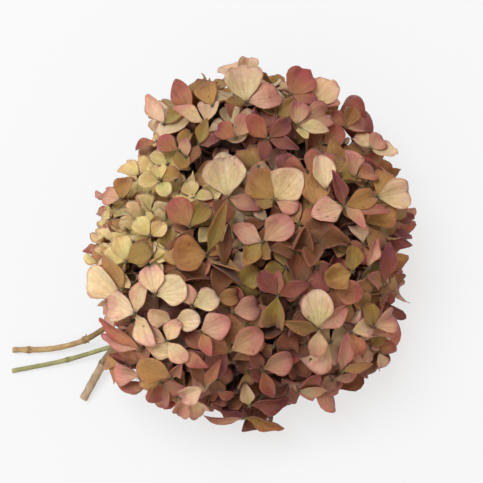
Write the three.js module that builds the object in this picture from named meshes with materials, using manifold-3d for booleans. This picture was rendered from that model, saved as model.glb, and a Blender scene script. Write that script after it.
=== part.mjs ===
// A bunch of three dried hydrangea stems lying on a table: three mophead blooms that lean on
// one another, each on its own woody stem.
// Millimetres, +Z up. X runs from the cut stem ends towards the blooms, and the surface that
// the bunch lies on is z = 0. The origin lies under the middle of the whole bunch.
import * as THREE from "three";
import { mergeVertices } from "three/addons/utils/BufferGeometryUtils.js";
import Module from "manifold-3d";

const wasm = await Module();
wasm.setup();

// ---------- driving dimensions ----------

const TOUCH_GAP = 0.35; // left between blooms that touch
const STEM_GAP = 0.45; // left round a stem inside a bloom
const FINEST_EDGE = 0.12; // shorter edges are merged away
const GRID = 0.01; // on which the points of a bloom lie
const CLEAR = 0.6; // least distance from a sepal's tip to the table or a neighbouring bloom's side
const GOLDEN_ANGLE = Math.PI * (3 - Math.sqrt(5));

// A bloom is a flattened ball of florets. semi: half its width, length and height. turn: degrees
// from +Y to its long axis. crown: the way it faces, away from its stem. slots: places on the
// ball, of which those inside a neighbour stay empty.
const BLOOMS = {
  left: { centre: [-38, -21, 52], semi: [45, 70, 52], turn: 22, crown: [0.66, 0.6, 0.44], slots: 37 },
  right: { centre: [35, -8, 54], semi: [52, 70, 55], turn: -13, crown: [0.88, 0.39, 0.28], slots: 39 },
  top: { centre: [1, 44, 46], semi: [56, 54, 46], turn: 0, crown: [0.4, 0.85, 0.35], slots: 38 },
};
const LEVELS = [0.9, 0.97, 1.03]; // of the florets' hearts, as shares of the ball: neighbours overlap
const CORE_SHARE = 0.66; // the mass of inner branchlets, as a share of the bloom
const BARE_CAP = 150; // degrees from the crown at which the florets stop, round the stem
const PRESSED_HEIGHT = 5.5; // height of a floret's heart where the bloom rests on the table
const PRESSED_DEPTH = 9; // a floret this far past a seam is pressed back to it; one further in is missing
const BENDS_TRIED = [0, 12, -12, 24, -24, 36, 48]; // degrees that a sepal opens or closes at a wall
const SHORTEST_SEPAL = 0.45; // of a sepal stunted by the table or a seam, as a share of its length
const SEAM_MARGIN = 3; // from a pressed floret's heart to the seam

// Planes at which two blooms press on each other: a point on the plane, and its normal, which
// points to the first bloom.
const SEAMS = [
  { between: ["left", "right"], point: [-10, -20, 0], normal: [-0.98, -0.19, 0.03] },
  { between: ["top", "left"], point: [-50, 40, 60], normal: [0.25, 0.93, -0.3] },
  { between: ["top", "right"], point: [30, 48, 60], normal: [0.02, 0.93, -0.36] },
];

// Florets that stand out of the ball: the bloom, the heart, the way the floret faces, the turn of
// its sepals in degrees, and its size.
const STRAYS = [
  { bloom: "top", heart: [-52, 58, 60], faces: [-0.5, 0.3, 0.8], spin: 0, size: 0.8 },
  { bloom: "left", heart: [-32, 29, 87], faces: [-0.1, 0.2, 1], spin: 30, size: 0.85 },
  { bloom: "left", heart: [-62, -63, 50], faces: [-0.6, -0.5, 0.5], spin: 35, size: 0.8 },
  { bloom: "left", heart: [-36, -86, 45], faces: [-0.1, -0.8, 0.5], spin: 45, size: 0.8 },
  { bloom: "left", heart: [-4, -84, 52], faces: [0.2, -0.4, 0.8], spin: 10, size: 0.8 },
  { bloom: "right", heart: [-3, 37, 84], faces: [-0.15, 0.1, 1], spin: 40, size: 0.95 },
  { bloom: "right", heart: [18, -72, 50], faces: [-0.1, -0.6, 0.8], spin: 20, size: 0.85 },
  { bloom: "right", heart: [48, -64, 45], faces: [0.3, -0.5, 0.7], spin: 0, size: 0.85 },
  { bloom: "right", heart: [77, 34, 42], faces: [0.7, 0.3, 0.6], spin: 0, size: 0.9 },
  { bloom: "top", heart: [-14, 90, 55], faces: [-0.2, 0.7, 0.7], spin: 40, size: 0.95 },
];

const SEPAL = {
  length: 24,
  width: 22.5,
  thickness: 0.76,
  notch: 0.2, // where two neighbouring sepals meet, as a share of their length
  widest: 0.56, // where a sepal is widest
  shoulder: [0.95, 0.24], // the blunt tip's corners, as shares of length and width
  cup: 16, // degrees that the sepals rise from the floret's plane
  hollow: 0.07, // how far its edges rise above its middle, as a share of its width
};
const HALF_ANGLE = THREE.MathUtils.degToRad(38); // widest that a sepal spreads to either side, seen along the floret
const STEEPEST = 0.7; // least cosine between the way a floret faces and its pedicel
const TURNS_TRIED = [0, 30, 60]; // degrees
const OPENINGS_TRIED = [-10, 6]; // degrees more or less than the sepals' cup
const HEIGHTS_TRIED = [-2.5, 0, 2.5]; // from where the spiral sets the heart
const PEDICEL_RADIUS = 1.0;
const ROOT_DEPTH = 4; // how far a pedicel is sunk into the core

// A stem runs from its cut end, on the table, to inside its bloom's core. nodes: how far along
// the stem its pairs of leaf scars lie.
const STEMS = {
  left: {
    radius: 1.8,
    nodes: [9, 41, 66],
    path: [[-140, -52, 2.1], [-117, -51.5, 4.2], [-98, -47.5, 9], [-83, -41, 19], [-66, -33, 33], [-52, -25, 44]],
  },
  right: {
    radius: 1.4,
    nodes: [33, 76, 120],
    path: [[-140, -64.5, 1.6], [-111, -59, 4], [-88, -53, 8], [-62, -45, 9], [-34, -37, 8], [-6, -27, 16], [14, -16, 36]],
  },
  top: {
    radius: 2.4,
    nodes: [26, 40, 84],
    path: [[-97, -81, 2.7], [-87, -64, 9], [-77.5, -51, 15], [-62, -28, 12], [-46, 0, 11], [-30, 20, 18], [-20, 36, 27], [-9, 50, 38]],
  },
};
const STEM_SIDES = 6;
const STEM_STEP = 12; // between the rings of a stem
const NODE_SWELL = 0.32; // how much thicker a stem is at a node, as a share of its radius
const NODE_WIDTH = 2.4;
const SCAR_SWELL = 0.3; // more on the two sides that bore leaves
const CUT_SLANT = 0.6; // slope of the cut end

// ---------- small helpers ----------

const vec = (a) => new THREE.Vector3(...a);
const radians = THREE.MathUtils.degToRad;

// A repeatable random number from 0 to 1 for a pair of whole numbers.
function chance(i, k) {
  const x = Math.sin(i * 12.9898 + k * 78.233) * 43758.5453;
  return x - Math.floor(x);
}

// A closed geometry as a manifold-3d solid.
function solidOf(geometry) {
  const plain = geometry.clone();
  plain.deleteAttribute("normal");
  plain.deleteAttribute("uv");
  const merged = mergeVertices(plain, 1e-4);
  return new wasm.Manifold(
    new wasm.Mesh({
      numProp: 3,
      vertProperties: merged.attributes.position.array,
      triVerts: new Uint32Array(merged.index.array),
    }),
  );
}

function geometryOf(solid) {
  const mesh = solid.getMesh();
  const geometry = new THREE.BufferGeometry();
  geometry.setAttribute("position", new THREE.BufferAttribute(mesh.vertProperties, 3));
  geometry.setIndex(new THREE.BufferAttribute(mesh.triVerts, 1));
  geometry.computeVertexNormals();
  return geometry;
}

// The largest connected piece of a solid: the scraps that a cut leaves, and any sealed hollow,
// are separate pieces of its surface. Its points are first set on a fine grid, and its shortest
// edges merged away, if that leaves no pinch.
function onePiece(solid) {
  for (const finest of [FINEST_EDGE, FINEST_EDGE / 2, FINEST_EDGE / 4, 0]) {
    const geometry = geometryOf(solid.simplify(finest));
    const at = geometry.attributes.position;
    for (let i = 0; i < at.array.length; i++) at.array[i] = Math.round(at.array[i] / GRID) * GRID;
    const pieces = solidOf(geometry).decompose();
    const largest = pieces.sort((a, b) => b.volume() - a.volume())[0];
    if (!pinched(largest)) return largest;
  }
  throw new Error("a bloom touches itself");
}

// Whether a solid only touches itself along some edge, where four faces meet.
function pinched(solid) {
  const { vertProperties, triVerts } = solid.getMesh();
  const places = new Map();
  const place = (vertex) => {
    const key = Array.from(vertProperties.subarray(3 * vertex, 3 * vertex + 3), (x) => Math.round(x / GRID)).join();
    if (!places.has(key)) places.set(key, places.size);
    return places.get(key);
  };
  const seen = new Set();
  for (let i = 0; i < triVerts.length; i += 3) {
    const [a, b, c] = Array.from(triVerts.subarray(i, i + 3), place);
    if (a === b || b === c || c === a) continue;
    for (const side of [a + " " + b, b + " " + c, c + " " + a]) {
      if (seen.has(side)) return true;
      seen.add(side);
    }
  }
  return false;
}

// ---------- florets ----------

// How far a sepal can reach in a direction before a wall stops it.
function roomFor(heart, along, length, walls) {
  return walls.reduce((reach, wall) => {
    const room = heart.clone().sub(wall.point).dot(wall.normal) - CLEAR;
    const outward = -along.dot(wall.normal);
    return outward * reach > room ? room / outward : reach;
  }, length);
}

// Where a sepal points, and its length: it opens or closes to stay inside the walls, and is
// stunted where that isn't enough. flat lies in the floret's plane.
function keptInside(heart, flat, normal, rise, length, walls) {
  let best = null;
  for (const bend of BENDS_TRIED) {
    const angle = rise + radians(bend);
    const along = flat.clone().multiplyScalar(Math.cos(angle)).addScaledVector(normal, Math.sin(angle));
    const reach = roomFor(heart, along, length, walls);
    if (!best || reach > best.reach + 0.01) best = { along, reach };
  }
  return { along: best.along, reach: Math.max(best.reach, SHORTEST_SEPAL * length) };
}

// One floret: four sepals round a heart, each a thin hollowed blade with a blunt tip, and a
// square pedicel from under the heart down to its root in the core.
function floretSolid({ heart, normal, spin, size, seed, walls, opening, root }) {
  const side = new THREE.Vector3(0, 0, 1).cross(normal);
  if (side.lengthSq() < 1e-3) side.set(1, 0, 0);
  side.normalize();
  const forward = normal.clone().cross(side);
  const around = (angle) =>
    side.clone().multiplyScalar(Math.cos(angle)).addScaledVector(forward, Math.sin(angle));
  const length = SEPAL.length * size;

  const sepals = [0, 1, 2, 3].map((k) => {
    const flat = around(spin + (k * Math.PI) / 2 + (chance(seed, k + 1) - 0.5) * 0.14);
    const rise = radians(SEPAL.cup + opening + (chance(seed, k + 5) - 0.5) * 16);
    const full = length * (0.9 + 0.2 * chance(seed, k + 9));
    const { along, reach } = keptInside(heart, flat, normal, rise, full, walls);
    const across = normal.clone().cross(flat).normalize();
    const up = along.clone().cross(across);
    const room = Math.tan(HALF_ANGLE) * SEPAL.widest * reach * flat.dot(along);
    return { along, across, up, reach, halfWidth: Math.min((SEPAL.width / SEPAL.length / 2) * reach, room) };
  });

  const positions = [];
  const triangles = [];
  const add = (point) => positions.push(point) - 1;
  const both = (point, up) => [
    add(point.clone().addScaledVector(up, SEPAL.thickness / 2)),
    add(point.clone().addScaledVector(up, -SEPAL.thickness / 2)),
  ];

  const notches = sepals.map((s, k) => {
    const out = s.along.clone().add(sepals[(k + 1) % 4].along).normalize();
    return both(heart.clone().addScaledVector(out, length * SEPAL.notch), normal);
  });
  const middle = add(heart.clone().addScaledVector(normal, SEPAL.thickness / 2));
  const under = heart.clone().addScaledVector(normal, -SEPAL.thickness / 2);
  const corners = sepals.map((s, k) => around(spin + (k * Math.PI) / 2).multiplyScalar(PEDICEL_RADIUS));
  const neck = corners.map((corner) => add(under.clone().add(corner)));
  const foot = corners.map((corner) => add(root.clone().add(corner)));

  sepals.forEach((s, k) => {
    const next = (k + 1) % 4;
    const at = (share, width, height) => {
      const point = heart
        .clone()
        .addScaledVector(s.along, s.reach * share)
        .addScaledVector(s.across, s.halfWidth * width)
        .addScaledVector(s.up, height);
      return both(point, s.up);
    };
    const edge = 2 * s.halfWidth * SEPAL.hollow;
    const outline = [
      notches[(k + 3) % 4],
      at(SEPAL.widest, -1, edge),
      at(SEPAL.shoulder[0], -2 * SEPAL.shoulder[1], 0),
      at(SEPAL.shoulder[0], 2 * SEPAL.shoulder[1], 0),
      at(SEPAL.widest, 1, edge),
      notches[k],
    ];
    for (let i = 0; i < outline.length - 1; i++) {
      const [a, b] = [outline[i], outline[i + 1]];
      triangles.push([middle, a[0], b[0]], [neck[k], b[1], a[1]], [a[0], a[1], b[1]], [a[0], b[1], b[0]]);
    }
    triangles.push([neck[k], neck[next], notches[k][1]]);
    triangles.push([neck[k], foot[k], foot[next]], [neck[k], foot[next], neck[next]]);
  });
  triangles.push([foot[2], foot[1], foot[0]], [foot[3], foot[2], foot[0]]);

  const floret = new THREE.BufferGeometry();
  floret.setAttribute("position", new THREE.Float32BufferAttribute(positions.flatMap((p) => p.toArray()), 3));
  floret.setIndex(triangles.flat());
  return solidOf(floret);
}

// ---------- blooms ----------

// The bloom's own ball: turns a unit direction into a point at a share of the bloom's size, and
// gives the outward normal there.
function ballOf(bloom) {
  const turned = new THREE.Matrix4().makeRotationZ(radians(bloom.turn));
  const place = (direction, share) => {
    const local = direction.clone().transformDirection(turned.clone().transpose());
    const point = local.multiply(vec(bloom.semi)).multiplyScalar(share);
    return point.applyMatrix4(turned).add(vec(bloom.centre));
  };
  const normal = (direction) => {
    const local = direction.clone().transformDirection(turned.clone().transpose());
    return local.divide(vec(bloom.semi)).transformDirection(turned);
  };
  return { place, normal };
}

// The planes that a bloom stays behind: the table and its neighbours' seams.
function wallsOf(name) {
  const walls = [{ point: new THREE.Vector3(), normal: new THREE.Vector3(0, 0, 1) }];
  for (const seam of SEAMS) {
    const place = seam.between.indexOf(name);
    if (place < 0) continue;
    const normal = vec(seam.normal).normalize();
    if (place === 1) normal.negate();
    walls.push({ point: vec(seam.point).addScaledVector(normal, TOUCH_GAP / 2), normal });
  }
  return walls;
}

// Moves a heart back behind the seams. False where it lies too far past one.
function pressedBack(heart, seams) {
  for (const wall of seams) {
    const room = heart.clone().sub(wall.point).dot(wall.normal);
    if (room < -PRESSED_DEPTH) return false;
    if (room < SEAM_MARGIN) heart.addScaledVector(wall.normal, SEAM_MARGIN - room);
  }
  return seams.every((wall) => heart.clone().sub(wall.point).dot(wall.normal) > SEAM_MARGIN / 2);
}

// The hearts of a bloom's florets, on a golden-angle spiral from its crown.
function floretsOf(name, index) {
  const bloom = BLOOMS[name];
  const ball = ballOf(bloom);
  const walls = wallsOf(name);
  const crown = vec(bloom.crown).normalize();
  const east = new THREE.Vector3(0, 0, 1).cross(crown).normalize();
  const north = crown.clone().cross(east);
  const found = [];
  for (let i = 0; i < bloom.slots; i++) {
    const seed = index * 200 + i;
    const height = 1 - ((i + 0.5) / bloom.slots) * (1 - Math.cos(radians(BARE_CAP)));
    const ring = Math.sqrt(1 - height * height);
    const angle = i * GOLDEN_ANGLE + (chance(seed, 20) - 0.5) * 0.3;
    const direction = crown
      .clone()
      .multiplyScalar(height)
      .addScaledVector(east, ring * Math.cos(angle))
      .addScaledVector(north, ring * Math.sin(angle));
    const share = LEVELS[i % LEVELS.length] + 0.03 * (chance(seed, 21) - 0.5);
    const heart = ball.place(direction, share);
    heart.z = Math.max(heart.z, PRESSED_HEIGHT);
    if (!pressedBack(heart, walls.slice(1))) continue;
    const normal = ball.normal(direction);
    normal.x += (chance(seed, 22) - 0.5) * 0.34;
    normal.y += (chance(seed, 23) - 0.5) * 0.34;
    normal.z += (chance(seed, 24) - 0.5) * 0.34;
    const root = rootOf(bloom, heart);
    const stalk = heart.clone().sub(root).normalize();
    normal.normalize();
    while (normal.dot(stalk) < STEEPEST) normal.addScaledVector(stalk, 0.1).normalize();
    found.push({
      heart,
      normal,
      spin: chance(seed, 25) * Math.PI,
      size: 0.86 + 0.26 * chance(seed, 26),
      seed,
      walls,
      root,
    });
  }
  STRAYS.filter((s) => s.bloom === name).forEach((s, k) =>
    found.push({
      heart: vec(s.heart),
      normal: vec(s.faces).normalize(),
      spin: radians(s.spin),
      size: s.size,
      seed: index * 200 + 100 + k,
      walls,
      root: rootOf(bloom, vec(s.heart)),
      stray: true,
    }),
  );
  return found;
}

// Where a floret's pedicel starts: inside the core, on the way from the heart to the centre.
function rootOf(bloom, heart) {
  const centre = vec(bloom.centre);
  const way = heart.clone().sub(centre);
  const local = way.clone().applyAxisAngle(new THREE.Vector3(0, 0, 1), -radians(bloom.turn));
  const share = local.divide(vec(bloom.semi)).length();
  return centre.addScaledVector(way, CORE_SHARE / share - ROOT_DEPTH / way.length());
}

function coreSolid(bloom) {
  const core = new THREE.IcosahedronGeometry(1, 1);
  const [x, y, z] = bloom.semi;
  core.scale(x * CORE_SHARE, y * CORE_SHARE, z * CORE_SHARE);
  core.rotateZ(radians(bloom.turn));
  core.translate(...bloom.centre);
  return solidOf(core);
}

// Everything on the outer side of a wall, as a large slab.
function beyond(wall) {
  const size = 500;
  const slab = new THREE.BoxGeometry(size, size, size);
  slab.translate(0, 0, -size / 2);
  slab.applyQuaternion(new THREE.Quaternion().setFromUnitVectors(new THREE.Vector3(0, 0, 1), wall.normal));
  slab.translate(wall.point.x, wall.point.y, wall.point.z);
  return solidOf(slab);
}

// The bloom with one more floret. Of the ways to turn, open and raise it, the one is taken that
// cuts least into the florets there, among those that don't leave a pinch.
function withFloret(bloom, floret, trimmed) {
  const ways = [];
  for (const turn of TURNS_TRIED) {
    for (const opening of OPENINGS_TRIED) {
      for (const height of HEIGHTS_TRIED) {
        const heart = floret.heart.clone().addScaledVector(floret.normal, height);
        const solid = floretSolid({ ...floret, heart, spin: floret.spin + radians(turn), opening });
        ways.push({ solid, shared: solid.intersect(bloom).numTri() });
      }
    }
  }
  ways.sort((a, b) => a.shared - b.shared);
  for (const { solid } of ways) {
    const grown = bloom.add(trimmed(solid));
    if (!pinched(grown)) return grown;
  }
  throw new Error("no way to add floret " + floret.seed);
}

function bloomSolid(name, index, stems) {
  const inTheWay = [...wallsOf(name).map(beyond), ...stems.map((stem) => solidOf(stemGeometry(stem, STEM_GAP)))];
  const trimmed = (solid) => inTheWay.reduce((left, piece) => left.subtract(piece), solid);
  let bloom = trimmed(coreSolid(BLOOMS[name]));
  for (const floret of floretsOf(name, index)) bloom = withFloret(bloom, floret, trimmed);
  return onePiece(bloom);
}

// ---------- stems ----------

// A woody stem: a lathe profile with swollen nodes, bent along its path. grow makes it thicker
// and longer, for the hole that it stands in.
function stemGeometry({ radius, nodes, path }, grow) {
  const curve = new THREE.CatmullRomCurve3(path.map(vec));
  const length = curve.getLength();
  const rings = nodes.flatMap((n) => [n - NODE_WIDTH, n, n + NODE_WIDTH]);
  for (let s = STEM_STEP; s < length; s += STEM_STEP) {
    if (nodes.every((n) => Math.abs(s - n) > 1.5 * NODE_WIDTH)) rings.push(s);
  }
  const stations = [0, ...rings.sort((a, b) => a - b), length];
  const swell = (s) => Math.max(...nodes.map((n) => Math.exp(-(((s - n) / NODE_WIDTH) ** 2))));
  const profile = stations.map((s) => new THREE.Vector2(radius * (1 + NODE_SWELL * swell(s)) + grow, s));
  profile[0].y -= grow;
  profile[profile.length - 1].y += grow;
  profile.unshift(new THREE.Vector2(0, profile[0].y));
  profile.push(new THREE.Vector2(0, profile[profile.length - 1].y));
  const stem = new THREE.LatheGeometry(profile, STEM_SIDES);
  const at = stem.attributes.position;
  for (let i = 0; i < at.count; i++) {
    const s = at.getY(i);
    const t = THREE.MathUtils.clamp(s / length, 0, 1);
    const along = curve.getTangentAt(t);
    const across = new THREE.Vector3(0, 0, 1).cross(along).normalize();
    const up = across.clone().cross(along);
    const scar = 1 + SCAR_SWELL * swell(s);
    const slant = s <= 0 ? -CUT_SLANT * at.getX(i) : 0;
    const point = curve
      .getPointAt(t)
      .addScaledVector(along, s - t * length + slant)
      .addScaledVector(across, at.getX(i) * scar)
      .addScaledVector(up, at.getZ(i));
    at.setXYZ(i, point.x, point.y, point.z);
  }
  return stem;
}

// ---------- assembly ----------

const petals = new THREE.MeshStandardMaterial({ color: 0xb98a78, roughness: 0.85 });
const wood = new THREE.MeshStandardMaterial({ color: 0x8f8150, roughness: 0.8 });
const bunch = new THREE.Group();

function addPiece(name, geometry, material) {
  const mesh = new THREE.Mesh(geometry, material);
  mesh.name = name;
  bunch.add(mesh);
}

Object.entries(STEMS).forEach(([name, stem]) => {
  addPiece("stem_" + name, geometryOf(solidOf(stemGeometry(stem, 0))), wood);
});
Object.keys(BLOOMS).forEach((name, index) => {
  addPiece("bloom_" + name, geometryOf(bloomSolid(name, index, Object.values(STEMS))), petals);
});
const middle = new THREE.Box3().setFromObject(bunch).getCenter(new THREE.Vector3());
bunch.position.set(-Math.round(middle.x / GRID) * GRID, -Math.round(middle.y / GRID) * GRID, 0);

export default bunch;
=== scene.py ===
import math
import random

import bmesh
import bpy
from mathutils import Matrix, Vector, bvhtree, kdtree, noise


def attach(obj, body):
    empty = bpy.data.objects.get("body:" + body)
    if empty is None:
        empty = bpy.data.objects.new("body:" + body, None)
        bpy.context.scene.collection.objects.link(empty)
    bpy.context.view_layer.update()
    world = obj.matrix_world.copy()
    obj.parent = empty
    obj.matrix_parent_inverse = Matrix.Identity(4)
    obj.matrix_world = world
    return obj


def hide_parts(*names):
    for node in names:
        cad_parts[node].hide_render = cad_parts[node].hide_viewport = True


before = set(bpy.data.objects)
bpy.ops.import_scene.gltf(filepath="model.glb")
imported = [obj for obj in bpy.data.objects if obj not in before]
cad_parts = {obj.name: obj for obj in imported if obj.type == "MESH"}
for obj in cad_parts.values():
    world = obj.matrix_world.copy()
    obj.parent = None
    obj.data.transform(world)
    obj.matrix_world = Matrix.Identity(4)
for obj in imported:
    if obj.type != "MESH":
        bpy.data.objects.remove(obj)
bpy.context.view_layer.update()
scene = bpy.context.scene
up = Vector((0, 0, 1))
golden = math.pi * (3 - math.sqrt(5))

# in metres: where the part's source lies in the frame, the gap over the table, how far the balls melt together
bunch = {"shift": (0.02191, -0.00372, 0.0), "table": 0.0006, "melt": 0.009}
# a bloom is a ball of florets: its middle, half sizes and turn, as in the part's source, in millimetres;
# its walls are the seams with its neighbours, each a point and the direction into the bloom
blooms = {
    "Left": {"node": "bloom_left", "slot": "sepals_pink", "middle": (-38, -21, 52), "half": (45, 70, 52),
             "turn": 22, "seed": 11,
             "walls": [((-10, -20, 0), (-0.98, -0.19, 0.03)), ((-50, 40, 60), (-0.25, -0.93, 0.3))]},
    "Right": {"node": "bloom_right", "slot": "sepals_rose", "middle": (35, -8, 54), "half": (52, 70, 55),
              "turn": -13, "seed": 23,
              "walls": [((-10, -20, 0), (0.98, 0.19, -0.03)), ((30, 48, 60), (-0.02, -0.93, 0.36))]},
    "Top": {"node": "bloom_top", "slot": "sepals_cream", "middle": (1, 44, 46), "half": (56, 54, 46),
            "turn": 0, "seed": 37,
            "walls": [((-50, 40, 60), (0.25, 0.93, -0.3)), ((30, 48, 60), (0.02, 0.93, -0.36))]},
}
# smaller swellings where the heads bulge or lean together: middle and half sizes
swells = [((-34, 64, 30), (18, 18, 24)), ((-10, 80, 34), (22, 18, 24)), ((24, 78, 34), (22, 18, 24)),
          ((42, 60, 34), (17, 17, 25)), ((57, 32, 40), (16, 20, 26)), ((58, -48, 34), (19, 21, 26)),
          ((-40, -64, 32), (24, 20, 26)), ((0, -70, 26), (28, 20, 26)), ((-54, 14, 34), (18, 18, 26))]
# the photograph's side in pixels, then its camera: millimetres, degrees, and metres away from the target
picture = {"side": 483, "lens": 85.2, "sensor": 36.0, "tilt": 12.0, "target": (-3.6, 2.5, 57), "away": 0.64,
           "clip": (0.01, 20)}


def place(point):
    return Vector(point) * 0.001 + Vector(bunch["shift"])


def mix(a, b, share):
    return a + (b - a) * share


def smooth(low, high, value):
    t = min(max((value - low) / (high - low), 0), 1)
    return t * t * (3 - 2 * t)


# the camera comes first, because the florets that show in the photograph are placed through it
tilt = math.radians(picture["tilt"])
towardsCamera = Vector((0, -math.sin(tilt), math.cos(tilt)))
cameraUp = Vector((0, math.cos(tilt), math.sin(tilt)))
cameraSpot = place(picture["target"]) + towardsCamera * picture["away"]
focal = picture["lens"] / picture["sensor"] * picture["side"]
cameraData = bpy.data.cameras.new("camera")
cameraData.lens = picture["lens"]
cameraData.sensor_width = picture["sensor"]
cameraData.clip_start, cameraData.clip_end = picture["clip"]
camera = bpy.data.objects.new("camera", cameraData)
camera.location = cameraSpot
camera.rotation_euler = (tilt, 0, 0)
scene.collection.objects.link(camera)
scene.camera = camera
print("camera made")


# a socket wrapped up, so that the maths of a material is written as sums
class Wire:
    def __init__(self, finish, socket):
        self.finish = finish
        self.socket = socket

    def sum(self, kind, other, turned=False):
        values = {0: other, 1: self} if turned else {0: self, 1: other}
        return self.finish.add("ShaderNodeMath", {"operation": kind}, values)

    def __add__(self, other):
        return self.sum("ADD", other)

    def __radd__(self, other):
        return self.sum("ADD", other)

    def __sub__(self, other):
        return self.sum("SUBTRACT", other)

    def __rsub__(self, other):
        return self.sum("SUBTRACT", other, True)

    def __mul__(self, other):
        return self.sum("MULTIPLY", other)

    def __rmul__(self, other):
        return self.sum("MULTIPLY", other)

    def __pow__(self, other):
        return self.sum("POWER", other)

    def __rpow__(self, other):
        return self.sum("POWER", other, True)

    def size(self):
        return self.sum("ABSOLUTE", 0)

    def sine(self):
        return self.sum("SINE", 0)

    def over(self, other):
        return self.sum("GREATER_THAN", other)

    def most(self, other):
        return self.sum("MAXIMUM", other)

    def between(self, low, high):
        return self.finish.add("ShaderNodeMapRange", {"interpolation_type": "SMOOTHSTEP"},
                               {"Value": self, "From Min": low, "From Max": high})


class Finish:
    def __init__(self, name):
        self.material = bpy.data.materials.new(name)
        self.material.use_nodes = True
        self.tree = self.material.node_tree
        self.tree.nodes.clear()

    def add(self, kind, settings, inputs, out=0):
        node = self.tree.nodes.new(kind)
        for name, value in settings.items():
            if name == "stops":
                ramp = node.color_ramp.elements
                while len(ramp) < len(value):
                    ramp.new(0.5)
                for stop, (at, colour) in zip(ramp, value):
                    stop.position = at
                    stop.color = colour
            else:
                setattr(node, name, value)
        for name, value in inputs.items():
            if isinstance(value, Wire):
                self.tree.links.new(value.socket, node.inputs[name])
            else:
                node.inputs[name].default_value = value
        return Wire(self, node.outputs[out])

    def attribute(self, name, out="Fac"):
        return self.add("ShaderNodeAttribute", {"attribute_name": name}, {}, out)

    def blend(self, share, a, b, kind="MIX"):
        return self.add("ShaderNodeMix", {"data_type": "RGBA", "blend_type": kind}, {0: share, 6: a, 7: b}, 2)

    def vector(self, x, y, z):
        return self.add("ShaderNodeCombineXYZ", {}, {0: x, 1: y, 2: z})

    def place(self):
        spot = self.add("ShaderNodeTexCoord", {}, {}, "Object")
        return self.add("ShaderNodeMapping", {}, {"Vector": spot, "Location": (-0.02, 0.0, -0.05)})

    def noise(self, where, scale, detail, rough=0.5, warp=0.0):
        return self.add("ShaderNodeTexNoise", {}, {"Vector": where, "Scale": scale, "Detail": detail,
                                                   "Roughness": rough, "Distortion": warp})

    def bump(self, height, strength, distance):
        return self.add("ShaderNodeBump", {}, {"Height": height, "Strength": strength, "Distance": distance})

    def close(self, values):
        skin = self.add("ShaderNodeBsdfPrincipled", {}, values)
        end = self.tree.nodes.new("ShaderNodeOutputMaterial")
        self.tree.links.new(skin.socket, end.inputs["Surface"])
        return self.material


def colour(red, green, blue):
    # a colour as a paint program shows it, made linear
    shown = [c / 255 for c in (red, green, blue)]
    return tuple(((c + 0.055) / 1.055) ** 2.4 if c > 0.04 else c / 12.92 for c in shown) + (1.0,)


# what darkens a dried sepal, and the scale of each kind of grain on it; depth is painted shade, the dark of sepals
# deep inside the head
sepalTints = {"vein": (150, 86, 62), "streak": (190, 140, 96), "rim": (132, 74, 60), "mottle": (168, 122, 84),
              "age": (146, 98, 66), "speck": (86, 48, 36), "depth": (100, 50, 22), "foot": (116, 88, 44)}
sepalGrain = {"blotch": 150, "mottle": 420, "age": 80, "speck": 210.0, "fuzz": 1500, "sway": 60}


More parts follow.
